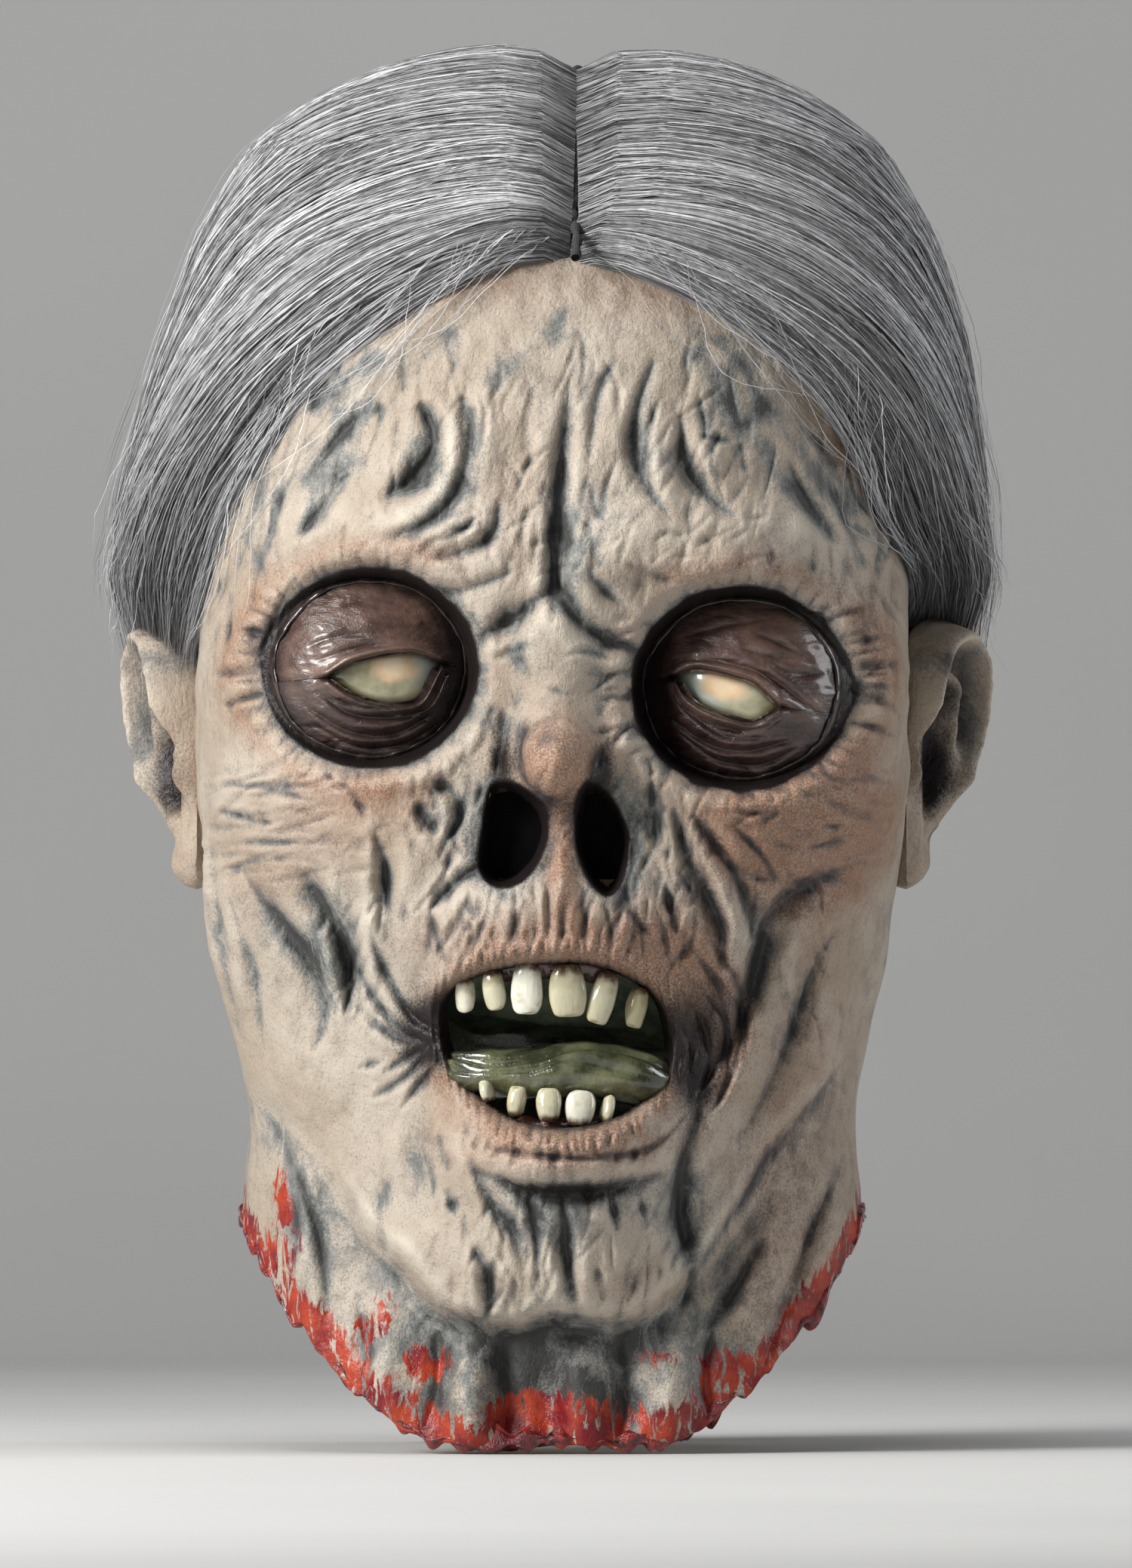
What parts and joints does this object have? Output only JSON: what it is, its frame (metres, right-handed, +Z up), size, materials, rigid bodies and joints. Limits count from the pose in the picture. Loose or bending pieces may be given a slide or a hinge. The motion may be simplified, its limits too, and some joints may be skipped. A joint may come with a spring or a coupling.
{
  "type": "latex costume mask",
  "caption": "Full-head latex costume mask of a rotted old head with sunken eyes, open toothed mouth, separate ears, combed grey wig and a torn neck edge.",
  "frame": {"origin": "middle of the footprint, on the surface that the torn neck edge stands on", "axes": "+Z up; the face looks along -Y; +X is on the viewer's right, which is the wearer's left"},
  "size_m": [0.2393, 0.2431, 0.3862],
  "materials": {
    "painted_latex": "matt painted latex, airbrushed tan with blue-grey wash in the creases",
    "gore_latex": "gloss crimson painted latex",
    "eye_glaze": "clear-coated cloudy resin",
    "lid_latex": "semi-gloss dark brown-purple latex",
    "socket_black": "gloss black sealing latex",
    "gauze": "matt black open-weave gauze",
    "mouth_latex": "wet-looking near-black latex",
    "gum_latex": "wet-looking dark brown latex",
    "tongue_latex": "wet-looking olive-green latex",
    "tooth_resin": "gloss ivory resin stained brown at the roots",
    "cap_cloth": "knitted wig base",
    "seam_thread": "sewn hair track",
    "grey_hair": "combed grey wig fibre with a soft sheen",
    "foam": "open-cell charcoal foam"
  },
  "bodies": {
    "root": {"latex_skin": "painted_latex", "ear_left": "painted_latex", "ear_right": "painted_latex", "gore_rim": "gore_latex", "eyeball_left": "eye_glaze", "eyeball_right": "eye_glaze", "upper_lid_left": "lid_latex", "upper_lid_right": "lid_latex", "lower_lid_left": "lid_latex", "lower_lid_right": "lid_latex", "socket_bead_left": "socket_black", "socket_bead_right": "socket_black", "nostril_mesh_left": "gauze", "nostril_mesh_right": "gauze", "mouth_liner": "mouth_latex", "upper_gum": "gum_latex", "lower_gum": "gum_latex", "tongue": "tongue_latex", "upper_tooth_1": "tooth_resin", "upper_tooth_2": "tooth_resin", "upper_tooth_3": "tooth_resin", "upper_tooth_4": "tooth_resin", "upper_tooth_5": "tooth_resin", "upper_tooth_6": "tooth_resin", "lower_tooth_1": "tooth_resin", "lower_tooth_2": "tooth_resin", "lower_tooth_3": "tooth_resin", "lower_tooth_4": "tooth_resin", "lower_tooth_5": "tooth_resin", "wig_cap": "cap_cloth", "parting_seam": "seam_thread", "hair_left": "grey_hair", "hair_right": "grey_hair", "crown_pad": "foam", "brow_pad": "foam", "rear_pad": "foam"}
  },
  "joints": []
}
